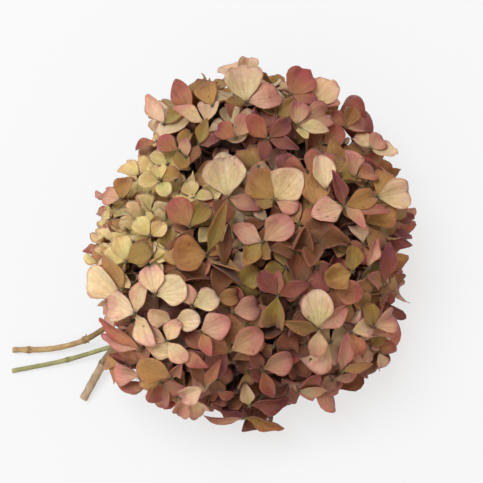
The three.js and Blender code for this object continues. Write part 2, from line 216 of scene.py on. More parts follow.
def sepalFinish():
    f = Finish("driedSepal")
    tint = {key: colour(*shown) for key, shown in sepalTints.items()}
    inner = f.attribute("innerTint", "Color")
    outer = f.attribute("outerTint", "Color")
    along, across = f.attribute("along"), f.attribute("across")
    fan, sway, shade = f.attribute("fan"), f.attribute("sway"), f.attribute("shade")
    spot = f.place()
    blotch = f.noise(spot, sepalGrain["blotch"], 3)
    fade = (along * 0.85 + (across ** 2.0) * 0.3 + (blotch - 0.5) * 1.1).between(0.3, 0.95)
    base = f.blend(fade, inner, outer)
    # veins fan out from the foot, with a finer net between them
    own = sway * sepalGrain["sway"]
    streaks = f.noise(f.vector(fan * 11.0, along * 0.9, own), 1.0, 4, 0.62, 0.3)
    net = f.add("ShaderNodeTexVoronoi", {"feature": "DISTANCE_TO_EDGE"},
                {"Vector": f.vector(fan * 9.0, along * 6.5, own), "Scale": 1.0})
    netLine = 1 - net.between(0.0, 0.1)
    rays = (fan * 15.0 + streaks * 5.0).sine().between(0.55, 1.0)
    midrib = 1 - (fan.size() * along).between(0.0, 0.035)
    vein = (rays * 0.6).most(netLine * 0.45).most(midrib * 0.8) * (1.05 - along * 0.55)
    base = f.blend(vein * 0.5, base, f.blend(0.8, base, tint["vein"], "MULTIPLY"))
    base = f.blend((streaks - 0.5) * 0.7 + 0.2, base, f.blend(0.55, base, tint["streak"], "MULTIPLY"))
    # rims dry darker and pinker
    rim = (across.size() ** 6.0).most(along ** 11.0)
    rim = (rim * (blotch * 1.5 + 0.15)).between(0.25, 0.95)
    base = f.blend(rim * 0.5, base, tint["rim"])
    mottle = f.noise(spot, sepalGrain["mottle"], 4, 0.65)
    base = f.blend(mottle.between(0.3, 0.75) * 0.34, base, f.blend(0.6, base, tint["mottle"], "MULTIPLY"))
    age = f.noise(spot, sepalGrain["age"], 2)
    base = f.blend(age.between(0.5, 0.8) * 0.28, base, tint["age"])
    # small dark specks on some blades
    cell = {"Vector": spot, "Scale": sepalGrain["speck"]}
    speckFar = f.add("ShaderNodeTexVoronoi", {"feature": "F1"}, cell, "Distance")
    speckPick = f.add("ShaderNodeTexVoronoi", {"feature": "F1"}, cell, "Color")
    picked = f.add("ShaderNodeSeparateColor", {}, {"Color": speckPick}, "Red").over(0.84)
    speck = (1 - speckFar.between(0.07, 0.22)) * picked
    base = f.blend(speck * 0.6, base, tint["speck"])
    # painted shade: by its shade value a sepal is darkened towards the depth brown, standing in for the shade deep
    # inside the head
    base = f.blend(shade, base, f.blend(0.95, base, tint["depth"], "MULTIPLY"))  # deep inside the head
    foot = 1 - along.between(0.02, 0.22)
    base = f.blend(foot * 0.55, base, tint["foot"])
    height = vein * -0.5 + streaks * 0.5 + mottle * 0.35 + f.noise(spot, sepalGrain["fuzz"], 2) * 0.12
    return f.close({"Base Color": base, "Roughness": mottle * 0.2 + 0.54, "Specular IOR Level": 0.35,
                    "Sheen Weight": 0.1, "Sheen Roughness": 0.5, "Subsurface Weight": 0.5,
                    "Subsurface Radius": (1.0, 0.38, 0.12), "Subsurface Scale": 0.0012,
                    "Normal": f.bump(height, 0.75, 0.0009)})


# plain grainy finishes: grain scale, detail and roughness, colours with their stops, roughness, and bump
plainFinishes = {
    "stalk": {"name": "driedStalk", "grain": (300, 4, 0.6), "broad": 90, "rough": (0.2, 0.6), "bump": (0.5, 0.0004),
              "stops": [(0.3, (72, 42, 24)), (0.55, (116, 80, 46)), (0.75, (148, 104, 70))]},
    "heart": {"name": "floretHeart", "grain": (700, 3, 0.6), "rough": (0.2, 0.55), "bump": (0.6, 0.0003),
              "stops": [(0.35, (44, 32, 24)), (0.6, (92, 76, 44)), (0.8, (146, 128, 78))]},
    # the core's dark browns are painted shade, the dark deep inside the head
    "core": {"name": "shadedCore", "grain": (220, 5, 0.7), "rough": (0.1, 0.85), "bump": (1.0, 0.002),
             "stops": [(0.3, (46, 24, 12)), (0.6, (84, 50, 28)), (0.8, (112, 70, 42))]},
}


def plainFinish(look):
    f = Finish(look["name"])
    spot = f.place()
    grain = f.noise(spot, *look["grain"])
    share = grain * 0.6 + f.noise(spot, look["broad"], 2) * 0.4 if "broad" in look else grain
    stops = [(at, colour(*shown)) for at, shown in look["stops"]]
    base = f.add("ShaderNodeValToRGB", {"stops": stops}, {"Fac": share})
    swing, least = look["rough"]
    return f.close({"Base Color": base, "Roughness": grain * swing + least, "Normal": f.bump(grain, *look["bump"])})


# the tints that all stems share, and the scale of each kind of grain on them
barkTints = {"cork": (196, 178, 140), "young": (176, 172, 118),
             "pithPale": (206, 186, 140), "pithDark": (170, 140, 96)}
barkGrain = {"patch": 110, "scuff": 36, "sway": 9}


def stemFinish(name, young, tints):
    # bark with long fibres, corky spots, darker rings at the nodes and a pale pith where it was cut
    f = Finish(name)
    dark, middle, pale, nodeTint = [colour(*shown) for shown in tints]
    tint = {key: colour(*shown) for key, shown in barkTints.items()}
    along, around = f.attribute("along"), f.attribute("across")
    knot, cut, sway = f.attribute("knot"), f.attribute("cut"), f.attribute("sway")
    spot = f.place()
    own = sway * barkGrain["sway"]
    fibre = f.noise(f.vector(around * 26.0, along * 9.0, own), 1.0, 4, 0.6)
    patch = f.noise(spot, barkGrain["patch"], 3, 0.6)
    base = f.add("ShaderNodeValToRGB", {"stops": [(0.3, dark), (0.52, middle), (0.74, pale)]},
                 {"Fac": fibre * 0.55 + patch * 0.45})
    cork = f.add("ShaderNodeTexVoronoi", {"feature": "F1"},
                 {"Vector": f.vector(around * 12.0, along * 34.0, own), "Scale": 1.0}, "Distance")
    corky = 1 - cork.between(0.1, 0.26)
    base = f.blend(corky * 0.5, base, f.blend(0.6, base, tint["cork"]))
    scuff = f.noise(spot, barkGrain["scuff"], 3).between(0.5, 0.72)
    base = f.blend(scuff * 0.5, base, f.blend(0.7, base, nodeTint, "MULTIPLY"))
    # greener near the flower, from young on: millimetres, of which along counts twenties
    start = young / 20
    green = along.between(start - 0.15, start + 0.25) * 0.75
    base = f.blend(green, base, f.blend(0.9, base, tint["young"], "MULTIPLY"))
    base = f.blend(knot * 0.75, base, nodeTint)
    base = f.blend(cut, base, f.blend(patch, tint["pithPale"], tint["pithDark"]))
    height = fibre * 0.7 + corky * 0.5 + patch * 0.3
    return f.close({"Base Color": base, "Roughness": fibre * 0.2 + 0.55, "Normal": f.bump(height, 0.6, 0.0005)})


finishes = {"sepal": sepalFinish()}
finishes.update({key: plainFinish(look) for key, look in plainFinishes.items()})
print("finishes made")


def pieceFrom(bm, name, finish, node):
    mesh = bpy.data.meshes.new(name)
    bm.to_mesh(mesh)
    bm.free()
    piece = bpy.data.objects.new(name, mesh)
    scene.collection.objects.link(piece)
    mesh.materials.append(finish)
    mesh.polygons.foreach_set("use_smooth", [True] * len(mesh.polygons))
    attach(piece, "root")
    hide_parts(node)
    print(name, len(mesh.polygons), "faces")
    return piece


# the skin of the bunch: the three balls and the swellings, melted together
def ballFrom(middle, half, turn=0):
    back = Matrix.Rotation(math.radians(-turn), 3, "Z")
    shrink = Matrix.Diagonal([1000 / h for h in half])
    return place(middle), shrink @ back


balls = [ballFrom(b["middle"], b["half"], b["turn"]) for b in blooms.values()]
balls += [ballFrom(middle, half) for middle, half in swells]


def outside(ball, point):
    # metres outside one ball, less than nothing inside it
    away = point - ball[0]
    return away.length * (1 - 1 / max((ball[1] @ away).length, 1e-6))


def skin(point):
    melt = bunch["melt"]
    return -melt * math.log(sum(math.exp(-outside(ball, point) / melt) for ball in balls))


# steps for feeling out the skin, in metres and shares
feeler = {"nudge": 0.002, "first": 0.045, "rounds": 9, "stride": 0.9, "near": 0.45, "far": 0.66, "touch": 0.0004,
          "pace": 0.8, "least": 0.0008}


def skinNormal(point):
    step = feeler["nudge"]
    rise = [skin(point + Vector(axis) * step) - skin(point - Vector(axis) * step)
            for axis in ((1, 0, 0), (0, 1, 0), (0, 0, 1))]
    return Vector(rise).normalized()


def skinReach(middle, direction):
    reach = feeler["first"]
    for _ in range(feeler["rounds"]):
        reach -= skin(middle + direction * reach) * feeler["stride"]
    return reach


def seenAt(pixel):
    # where the camera's ray through this pixel of the photograph meets the skin, or comes nearest to it
    right = (pixel[0] - picture["side"] / 2) / focal
    above = (picture["side"] / 2 - pixel[1]) / focal
    ray = (Vector((1, 0, 0)) * right + cameraUp * above - towardsCamera).normalized()
    reach, nearest, best = feeler["near"], 1.0, None
    while reach < feeler["far"]:
        point = cameraSpot + ray * reach
        gap = skin(point)
        if gap < nearest:
            nearest, best = gap, point
        if gap < feeler["touch"]:
            break
        reach += max(gap * feeler["pace"], feeler["least"])
    return best


def pixelOf(point):
    away = point - cameraSpot
    deep = -away.dot(towardsCamera)
    half = picture["side"] / 2
    return half + away.x / deep * focal, half - away.dot(cameraUp) / deep * focal


def clearOf(bloom, point):
    # metres inside the bloom's own side of the seams with its neighbours
    return min((point - place(at)).dot(Vector(facing)) for at, facing in bloom["walls"])


def spiral(count, share):
    # even directions over a ball, from the top down to this share of its height
    for i in range(count):
        height = 1 - (i + 0.5) / count * share
        ring = math.sqrt(max(1 - height * height, 0))
        yield Vector((ring * math.cos(i * golden), ring * math.sin(i * golden), height))


# colours of dried sepals, by where on the bunch they grow: near the heart, near the rim
tones = {
    "cream": ((204, 182, 137), (206, 179, 147)),
    "tan": ((165, 126, 66), (147, 103, 52)),
    "pink": ((204, 177, 135), (194, 145, 123)),
    "blush": ((192, 150, 119), (179, 119, 106)),
    "rose": ((161, 108, 68), (150, 77, 66)),
    "mauve": ((132, 72, 51), (116, 52, 53)),
    "green": ((201, 182, 113), (208, 185, 131)),
    "olive": ((143, 117, 49), (136, 102, 43)),
    "brown": ((120, 70, 26), (104, 56, 22)),
}
# painted light and shade: each zone's lift, and the dark tones weighted into the crevices, are partly the sepals'
# own tone and partly painted light and shade
zones = [  # middle in the photograph, reach in pixels, tones with their shares, how much lighter
    ((140, 205), 50, {"green": 8, "olive": 2, "tan": 1, "blush": 1}, 11),
    ((235, 85), 46, {"cream": 5, "tan": 3, "olive": 3}, 6),
    ((320, 85), 40, {"cream": 5, "tan": 3, "pink": 2}, 27),
    ((150, 130), 36, {"blush": 3, "rose": 2, "cream": 2, "olive": 2}, 20),
    ((270, 142), 32, {"mauve": 6, "green": 1, "blush": 1, "rose": 2}, 6),
    ((330, 120), 42, {"blush": 2, "rose": 3, "mauve": 1, "olive": 2, "tan": 1}, -24),
    ((255, 185), 40, {"cream": 4, "tan": 3, "blush": 2, "pink": 2, "olive": 1}, 1),
    ((220, 265), 34, {"olive": 3, "brown": 7, "tan": 1, "rose": 2}, -2),
    ((270, 255), 42, {"pink": 2, "olive": 3, "blush": 2, "brown": 3}, 6),
    ((140, 300), 56, {"pink": 5, "blush": 3, "cream": 3, "tan": 1}, 24),
    ((160, 390), 66, {"rose": 5, "blush": 2, "tan": 3, "brown": 1}, 19),
    ((270, 370), 66, {"rose": 4, "blush": 1, "mauve": 4, "brown": 3}, -14),
    ((370, 180), 56, {"blush": 2, "tan": 3, "rose": 3, "pink": 1, "olive": 2}, 10),
    ((380, 280), 60, {"rose": 4, "blush": 2, "mauve": 2, "tan": 2, "olive": 1}, 2),
    ((340, 340), 50, {"pink": 2, "blush": 2, "olive": 2, "rose": 3, "brown": 1}, 4),
]


# how fast a zone fades, the least pull that counts, and how far a sepal's tint strays from its tone
blending = {"fade": 1.3, "least": 0.2, "whole": 11, "each": 5, "darkest": 12, "palest": 245}


def pull(spot, middle, reach):
    return math.exp(-(math.dist(spot, middle) / reach) ** 2 * blending["fade"])


# the zone lift at a spot: partly the sepals' own tone, partly painted light and shade
def toneAndPaintedLightAt(spot):
    pulls = [pull(spot, middle, reach) for middle, reach, parts, lift in zones]
    return sum(share * zone[3] for share, zone in zip(pulls, zones)) / max(sum(pulls), blending["least"])


def toneAt(spot, dice):
    shares = {}
    for middle, reach, parts, lift in zones:
        near = pull(spot, middle, reach)
        whole = sum(parts.values())
        for name, part in parts.items():
            shares[name] = shares.get(name, 0) + near * part / whole
    pick = dice.random() * sum(shares.values())
    for name, share in shares.items():
        pick -= share
        if pick <= 0:
            return name
    return "rose"


def tintOf(name, side, lift, dice):
    light = lift + dice.uniform(-blending["whole"], blending["whole"])
    shown = [c + light + dice.uniform(-blending["each"], blending["each"]) for c in tones[name][side]]
    return colour(*[min(max(c, blending["darkest"]), blending["palest"]) for c in shown])


# one sepal is a small grid drawn round: a narrow foot, full shoulders, a blunt or pointed tip. The hub is where its
# veins meet, behind the foot, and within press metres of the table it flattens
sepal = {"fine": (6, 6), "plain": (3, 4), "length": 0.0178, "thick": 0.0003, "foot": 0.13, "hub": 0.12,
         "press": 0.004}


def roundGrid(columns, rows):
    # for each point: across and along the sepal, how near its rim and its turn about the foot
    spots = []
    for j in range(rows + 1):
        t = -1 + 2 * j / rows
        for i in range(columns + 1):
            u = -1 + 2 * i / columns
            x, y = u * math.sqrt(1 - t * t / 2), t * math.sqrt(1 - u * u / 2)
            s = (y + 1) / 2
            x *= sepal["foot"] + (1 - sepal["foot"]) * smooth(-0.06, 0.5, s)
            spots.append((x, s, max(abs(u), t) if t > -0.5 else abs(u), math.atan2(x, s + sepal["hub"])))
    return spots


def gridOf(columns, rows):
    # the points, each point's neighbours and the faces, all by number
    wide, whole = columns + 1, (columns + 1) * (rows + 1)
    around = [[n for n, fits in ((k - 1, k % wide > 0), (k + 1, k % wide < columns), (k - wide, k >= wide),
                                 (k + wide, k < whole - wide)) if fits] for k in range(whole)]
    cells = [(k, k + 1, k + wide + 1, k + wide) for k in range(whole - wide) if k % wide < columns]
    return {"spots": roundGrid(columns, rows), "around": around, "cells": cells}


grids = {key: gridOf(*sepal[key]) for key in ("fine", "plain")}
# the blades laid so far, and how later ones go beneath them: metres, rounds and shares
cover = {"points": [], "faces": [], "tree": None, "waiting": 0, "reach": 0.018, "gap": 0.0007, "rounds": 5,
         "spread": 4, "ease": 0.97, "push": 0.0016, "cuts": 3, "heartReach": 0.006, "heartGap": 0.0025}


def layBlade(blades, key, facing, shape, down, keep=False):
    # a blade slips under the cover; one that still cuts it in many places is left out, unless it is to be kept
    grid = grids[key]
    points = [bentPoint(facing, shape, spot) for spot in grid["spots"]]
    if cover["tree"]:
        sunk = [0.0] * len(points)
        for k, point in enumerate(points):
            hit = cover["tree"].ray_cast(point, down, cover["reach"])[0]
            if hit:
                sunk[k] = (hit - point).length + cover["gap"]
        laid = points
        for attempt in range(cover["rounds"]):
            if any(sunk):
                # the dip is spread over the blade, so that it bends and doesn't tear
                for _ in range(1 if attempt else cover["spread"]):
                    sunk = [max(sunk[k], sum(sunk[n] for n in around) / len(around) * cover["ease"])
                            for k, around in enumerate(grid["around"])]
                laid = [point + down * dip for point, dip in zip(points, sunk)]
                for point in laid:
                    point.z = max(point.z, bunch["table"])
            cuts = bvhtree.BVHTree.FromPolygons(laid, grid["cells"]).overlap(cover["tree"])
            if not cuts:
                break
            for k in {k for cell, other in cuts for k in grid["cells"][cell]}:
                sunk[k] += cover["push"]
        points = laid
        if len(cuts) > cover["cuts"] and not keep:
            return
    blades.append((points, shape))
    cover["waiting"] += 1


def underCover(heart, down):
    # a heart that would sit on top of a blade goes beneath it
    hit = cover["tree"] and cover["tree"].ray_cast(heart, down, cover["heartReach"])[0]
    return hit + down * cover["heartGap"] if hit else heart


def settle(blades, since, every):
    # the blades laid since the last time join the cover
    if cover["waiting"] < every:
        return since
    for points, shape in blades[since:]:
        first = len(cover["points"])
        cover["points"] += points
        cover["faces"] += [[first + k for k in cell] for cell in grids["fine"]["cells"]]
    cover["tree"] = bvhtree.BVHTree.FromPolygons(cover["points"], cover["faces"])
    cover["waiting"] = 0
    return len(blades)


def buildBlades(blades, key):
    # one long grid is cut into a blade for each shape, then each is laid in its place
    columns, rows = sepal[key]
    bm = bmesh.new()
    bmesh.ops.create_grid(bm, x_segments=columns, y_segments=len(blades) * (rows + 1) - 1, size=1)
    bm.faces.ensure_lookup_table()
    gaps = [face for i, face in enumerate(bm.faces) if (i // columns) % (rows + 1) == rows]
    bmesh.ops.delete(bm, geom=gaps, context="FACES")
    bm.verts.ensure_lookup_table()
    layers = {name: bm.verts.layers.float.new(name) for name in ("along", "across", "fan", "sway", "shade")}
    tints = {name: bm.verts.layers.float_color.new(name) for name in ("innerTint", "outerTint")}
    spots = grids[key]["spots"]
    for index, (points, shape) in enumerate(blades):
        for k, spot in enumerate(spots):
            vert = bm.verts[index * len(spots) + k]
            vert.co = points[k]
            vert[layers["along"]] = spot[1]
            vert[layers["across"]] = spot[2]
            vert[layers["fan"]] = spot[3]
            vert[layers["sway"]] = shape["sway"]
            vert[layers["shade"]] = shape["shade"]
            vert[tints["innerTint"]] = shape["inner"]
            vert[tints["outerTint"]] = shape["outer"]
    return bm


def bentPoint(facing, shape, spot):
    # a flat spot of the grid is drawn to the sepal's outline, rolled up along its length and put in its place
    x, s = spot[0], spot[1]
    length, half, rise, curl, cup = shape["length"], shape["width"] / 2, shape["rise"], shape["curl"], shape["cup"]
    point, phase = shape["point"], shape["phase"]
    edge = abs(x)
    reach = s + point * 0.15 * (1 - edge) * smooth(0.6, 1.0, s)
    x *= (1 - 0.4 * max(point, 0) * smooth(0.5, 1.0, s)) * (1 + shape["shoulder"] * (s - 0.55))
    turn = curl * reach
    if abs(curl) > 0.02:
        forth = (math.sin(rise + turn) - math.sin(rise)) / curl * length
        lift = (math.cos(rise) - math.cos(rise + turn)) / curl * length
    else:
        forth, lift = math.cos(rise) * reach * length, math.sin(rise) * reach * length
    bowl = cup * (0.3 + 0.7 * s) * edge ** 1.7 * half
    fold = shape["fold"] * (1 - edge) * half * smooth(0, 0.4, s)
    wave = shape["wave"] * half * 2 * math.sin(phase + 4.0 * x + 4.6 * s) * s * (0.25 + 0.75 * edge)
    crimp = shape["crimp"] * half * math.sin(phase * 3 + 9.5 * math.atan2(x, s + sepal["hub"])) * s * s
    out = bowl - fold + wave + crimp + shape["roll"] * half * (edge ** 4 + smooth(0.75, 1.05, s) ** 2)
    side = x * half * (1 - 0.3 * min(abs(cup), 1.2) * (0.4 + 0.6 * s)) + shape["skew"] * length * s * s
    tilted = rise + turn
    bent = Vector((side, forth - math.sin(tilted) * out, lift + math.cos(tilted) * out))
    bent = facing @ (Matrix.Rotation(shape["twist"] * s, 3, "Y") @ bent)
    press = sepal["press"]
    low = bunch["table"] + press
    if bent.z < low:  # pressed where it meets the table
        bent.z = bunch["table"] + press * math.exp((bent.z - low) / press)
    return bent


def facingMatrix(heart, normal, spin):
    # its z is the normal, and with spin 0 its x is to the right in the photograph
    z = normal.normalized()
    x = Vector((1, 0, 0)) - z * z.x
    x = x.normalized() if x.length > 1e-3 else Vector((0, 1, 0))
    seat = Matrix((x, z.cross(x), z)).transposed().to_4x4()
    return Matrix.Translation(heart) @ seat @ Matrix.Rotation(spin, 4, "Z")


# how loosely sepals are shaped: ranges, most values and shares
loose = {"curl": (-1.2, 0.5), "cup": (0.1, 1.1), "cupped": 0.82, "inverse": -0.6, "fold": 0.9, "wave": (0.02, 0.11),
         "phase": (0, 6.28), "crimp": 0.17, "roll": (-0.15, 0.35), "twist": (-0.5, 0.5), "bluntShare": 0.6,
         "blunt": (-0.2, 0.5), "sharp": (0.5, 1.2), "shoulder": (-0.4, 0.6), "skew": (-0.14, 0.14)}


def looseShape(length, width, rise, tone, lift, shade, dice):
    def drawn(key):
        return dice.uniform(*loose[key])

    return {"length": length, "width": width, "rise": rise, "curl": drawn("curl"),
            "cup": drawn("cup") * (1 if dice.random() < loose["cupped"] else loose["inverse"]),
            "fold": dice.random() ** 2 * loose["fold"], "wave": drawn("wave"), "phase": drawn("phase"),
            "crimp": dice.random() ** 2 * loose["crimp"], "roll": drawn("roll"), "twist": drawn("twist"),
            "point": drawn("blunt") if dice.random() < loose["bluntShare"] else drawn("sharp"),
            "shoulder": drawn("shoulder"), "skew": drawn("skew"), "sway": dice.random(),
            "inner": tintOf(tone, 0, lift, dice), "outer": tintOf(tone, 1, lift, dice),
            "shade": min(max(shade, 0), 1)}


# a seeded floret: how far its sepals rise in radians, their sizes, and how often they share its tone
floret = {"leans": [0.05, 0.3, 0.6, 1.1], "length": (0.8, 1.12), "width": (0.7, 1.12), "sameTone": 0.82,
          "strays": ["pink", "tan", "rose"], "turn": 0.2, "shade": (-0.1, 0.15), "step": 0.0004, "calmCurl": 0.5}


def addFloret(blades, layer, heart, normal, spin, size, tone, calm, dice):
    base = facingMatrix(heart, normal, spin)
    # the tints take the zone lift, partly painted light and shade
    lift = toneAndPaintedLightAt(pixelOf(heart))
    lean = dice.choice(floret["leans"]) * (1 - 0.75 * calm) + dice.uniform(-0.1, 0.15)
    for i in range(4):
        name = tone if dice.random() < floret["sameTone"] else dice.choice(floret["strays"] + [tone])
        length = sepal["length"] * size * dice.uniform(*floret["length"])
        width = length * dice.uniform(*floret["width"])
        rise = lean + dice.uniform(-0.25, 0.35) * (1 - 0.6 * calm)
        shape = looseShape(length, width, rise, name, lift, layer["shade"] + dice.uniform(*floret["shade"]), dice)
        shape["curl"] -= floret["calmCurl"] * calm
        turn = math.pi / 2 * i + dice.uniform(-floret["turn"], floret["turn"]) - math.pi / 2
        step = Matrix.Translation((0, 0, floret["step"] * (i % 2)))
        facing = base @ step @ Matrix.Rotation(turn, 4, "Z")
        belly = pixelOf(facing @ Vector((0, length * 0.55 * math.cos(rise), 0)))
        if layer["grid"] == "fine" and any(math.dist(belly, spot) < reach for spot, reach in hollows):
            continue
        layBlade(blades, layer["grid"], facing, shape, -skinNormal(heart))


# florets that stand out in the photograph: the pixel of the heart, then each sepal's turn in degrees from the
# right, its length in pixels, its width as a share of that, its tone, and how far it rises in degrees
heroes = [
    ((275, 200), [(45, 38, 1.05, "cream", 6), (127, 38, 0.9, "tan", 10), (-22, 26, 0.8, "blush", 12),
                  (215, 18, 0.8, "olive", 35)]),
    ((228, 198), [(97, 46, 1.02, "cream", 6), (-20, 33, 0.5, "blush", 10), (-112, 32, 0.6, "brown", 40)]),
    ((263, 242), [(38, 36, 0.85, "blush", 12), (155, 32, 0.7, "blush", 14), (-130, 28, 0.7, "olive", 30),
                  (-50, 20, 0.7, "olive", 40)]),
    ((344, 207), [(196, 33, 0.85, "pink", 8), (112, 32, 0.45, "mauve", 30), (22, 38, 0.6, "tan", 14),
                  (-52, 28, 0.5, "blush", 20), (-8, 40, 0.4, "rose", 16)]),
    ((326, 191), [(100, 38, 0.72, "cream", 6)]),
    ((318, 208), [(100, 34, 0.85, "tan", 20)]),
    ((155, 295), [(100, 32, 0.75, "pink", 20), (15, 36, 0.85, "cream", 6), (48, 32, 0.7, "blush", 22)]),
    ((137, 313), [(160, 33, 0.95, "pink", 8), (76, 38, 0.55, "pink", 6), (-52, 36, 0.72, "pink", 6)]),
    ((120, 302), [(128, 42, 0.8, "cream", 20)]),
    ((124, 290), [(115, 35, 0.6, "tan", 14)]),
    ((192, 306), [(22, 28, 0.85, "cream", 12), (110, 20, 0.8, "blush", 30)]),
    ((167, 341), [(62, 24, 0.8, "pink", 16), (158, 26, 0.8, "blush", 14), (-40, 28, 0.7, "pink", 14)]),
    ((172, 323), [(8, 28, 0.85, "cream", 10), (150, 24, 0.8, "pink", 26)]),
    ((200, 332), [(22, 32, 0.9, "blush", 10), (-60, 22, 0.6, "rose", 30)]),
    ((247, 104), [(100, 38, 1.05, "cream", 12), (12, 36, 0.8, "blush", 12), (190, 20, 0.6, "olive", 30)]),
    ((246, 80), [(85, 24, 0.9, "cream", 20), (140, 32, 0.9, "cream", 10)]),
    ((213, 106), [(112, 30, 0.8, "tan", 16)]),
    ((206, 124), [(72, 26, 0.95, "cream", 8), (160, 30, 0.6, "pink", 20)]),
    ((166, 126), [(112, 34, 0.6, "pink", 8), (20, 24, 0.6, "olive", 30)]),
    ((193, 118), [(198, 40, 0.7, "cream", 10), (112, 42, 0.55, "rose", 14)]),
    ((158, 142), [(178, 29, 0.42, "rose", 6), (20, 26, 0.5, "olive", 20)]),
    ((186, 157), [(90, 20, 0.75, "blush", 8)]),
    ((297, 127), [(92, 26, 0.95, "blush", 10), (-10, 28, 0.55, "cream", 14), (25, 40, 0.8, "blush", 12),
                  (-60, 18, 0.7, "green", 30)]),
    ((290, 94), [(58, 34, 0.9, "rose", 14), (-10, 26, 0.7, "rose", 20)]),
    ((308, 104), [(40, 36, 0.85, "cream", 16), (-20, 30, 0.8, "blush", 20)]),
    ((268, 140), [(40, 28, 0.6, "mauve", 20), (140, 30, 0.7, "rose", 16), (-20, 30, 0.5, "mauve", 10),
                  (-110, 22, 0.6, "mauve", 30)]),
    ((236, 138), [(60, 26, 0.8, "blush", 12), (150, 24, 0.8, "rose", 20)]),
    ((190, 228), [(122, 34, 0.85, "rose", 12), (58, 32, 0.75, "olive", 12)]),
    ((207, 254), [(188, 32, 1.3, "tan", 10), (70, 36, 0.3, "olive", 50)]),
    ((224, 268), [(84, 36, 0.24, "brown", 30), (104, 32, 0.24, "tan", 30)]),
    ((206, 256), [(24, 20, 0.35, "tan", 55), (-8, 22, 0.3, "brown", 60), (-36, 26, 0.3, "tan", 60),
                  (-62, 28, 0.26, "brown", 60)]),
    ((180, 152), [(60, 24, 0.7, "olive", 20), (150, 22, 0.8, "rose", 20), (-70, 20, 0.7, "olive", 30)]),
    ((200, 146), [(70, 24, 0.6, "olive", 20), (10, 24, 0.6, "mauve", 20), (-110, 22, 0.7, "brown", 30)]),
    ((214, 300), [(73, 52, 0.5, "brown", 8), (10, 26, 0.7, "tan", 16)]),
    ((232, 312), [(12, 34, 0.72, "blush", 8), (80, 24, 0.7, "rose", 24)]),
    ((278, 296), [(128, 30, 0.65, "mauve", 10), (25, 32, 0.5, "mauve", 14), (-100, 38, 0.75, "olive", 8),
                  (85, 22, 0.6, "rose", 30)]),
    ((319, 330), [(95, 38, 0.88, "cream", 8), (40, 34, 0.6, "blush", 14), (-95, 28, 0.7, "pink", 12),
                  (163, 34, 0.45, "olive", 20)]),
    ((352, 272), [(198, 28, 1.0, "tan", 20), (100, 24, 0.8, "olive", 30)]),
    ((344, 130), [(70, 23, 0.8, "tan", 14), (12, 26, 0.8, "blush", 14), (140, 22, 0.7, "rose", 20)]),
    ((368, 151), [(50, 25, 0.8, "blush", 14), (128, 26, 0.8, "pink", 12), (-12, 26, 0.8, "cream", 14)]),
    ((356, 178), [(30, 28, 0.8, "rose", 12), (120, 26, 0.8, "blush", 20)]),
    ((376, 198), [(16, 36, 0.95, "cream", 16), (70, 30, 0.8, "tan", 20)]),
    ((385, 284), [(80, 38, 0.5, "mauve", 10), (160, 26, 0.7, "rose", 20)]),
    ((368, 268), [(80, 28, 0.5, "blush", 12)]),
    ((372, 326), [(14, 33, 0.8, "blush", 8), (110, 26, 0.7, "olive", 24)]),
    ((350, 332), [(20, 28, 0.75, "pink", 12), (-70, 24, 0.7, "rose", 20)]),
    ((341, 371), [(84, 42, 0.4, "blush", 10), (30, 30, 0.5, "tan", 16)]),
    ((332, 381), [(0, 36, 0.5, "blush", 8)]),
    ((172, 379), [(150, 38, 0.8, "tan", 10), (70, 26, 0.5, "rose", 30)]),
    ((178, 353), [(172, 38, 0.6, "pink", 10), (-20, 30, 0.5, "rose", 20)]),
    ((142, 376), [(165, 30, 0.95, "blush", 10)]),
    ((204, 384), [(60, 30, 0.45, "rose", 14), (110, 32, 0.4, "brown", 20), (-150, 30, 0.7, "pink", 14)]),
    ((249, 405), [(2, 38, 0.6, "mauve", 6), (100, 24, 0.6, "cream", 16)]),
    ((243, 415), [(-14, 38, 0.42, "tan", 8), (176, 36, 0.4, "blush", 8)]),
    ((230, 351), [(30, 36, 0.85, "blush", 12), (150, 28, 0.6, "rose", 20)]),
    ((262, 369), [(20, 34, 0.75, "blush", 10), (-70, 30, 0.5, "rose", 20), (110, 26, 0.5, "mauve", 24)]),
    ((190, 397), [(-122, 27, 0.7, "blush", 12), (-60, 30, 0.7, "pink", 14)]),
    ((298, 392), [(0, 26, 0.6, "pink", 14), (60, 34, 0.7, "rose", 14)]),
    ((142, 350), [(146, 48, 0.34, "rose", 10), (158, 38, 0.4, "blush", 18), (112, 28, 0.7, "brown", 8)]),
    ((140, 362), [(138, 36, 0.5, "rose", 12), (170, 28, 0.6, "mauve", 16), (60, 26, 0.7, "rose", 14)]),
    ((128, 262), [(30, 30, 0.8, "olive", 14), (100, 26, 0.9, "green", 14), (160, 24, 0.8, "green", 14)]),
    ((150, 236), [(40, 20, 0.9, "green", 8), (130, 22, 0.9, "green", 14), (-120, 24, 0.8, "olive", 14)]),
    ((161, 182), [(100, 20, 0.9, "green", 10), (20, 22, 0.8, "tan", 14), (190, 22, 0.8, "green", 20),
                  (-70, 20, 0.8, "green", 14)]),
    ((122, 200), [(80, 26, 0.8, "tan", 10), (160, 24, 0.8, "blush", 16)]),
]

# dark openings between the florets of the photograph: pixel and reach
hollows = [((213, 266), 9), ((218, 280), 7), ((272, 259), 8), ((290, 310), 9), ((258, 328), 8), ((238, 372), 9),
           ((228, 358), 7), ((160, 222), 5), ((300, 290), 6), ((352, 232), 6), ((240, 292), 6)]


# the front florets: where their hearts sit and look, and how loosely their sepals are shaped
front = {"towards": 0.8, "heights": [-0.001, 0.0005, 0.002], "widen": 1.06, "lift": -8, "step": 0.0006,
         "narrow": 0.65, "sharp": 0.7, "blunt": (-0.1, 0.35), "belly": 0.6,
         "ranges": {"curl": (-1.1, 0.3), "cup": (0.1, 0.9), "twist": (-0.35, 0.35), "wave": (0.03, 0.1),
                    "fold": (0, 0.55), "roll": (-0.15, 0.4)}}


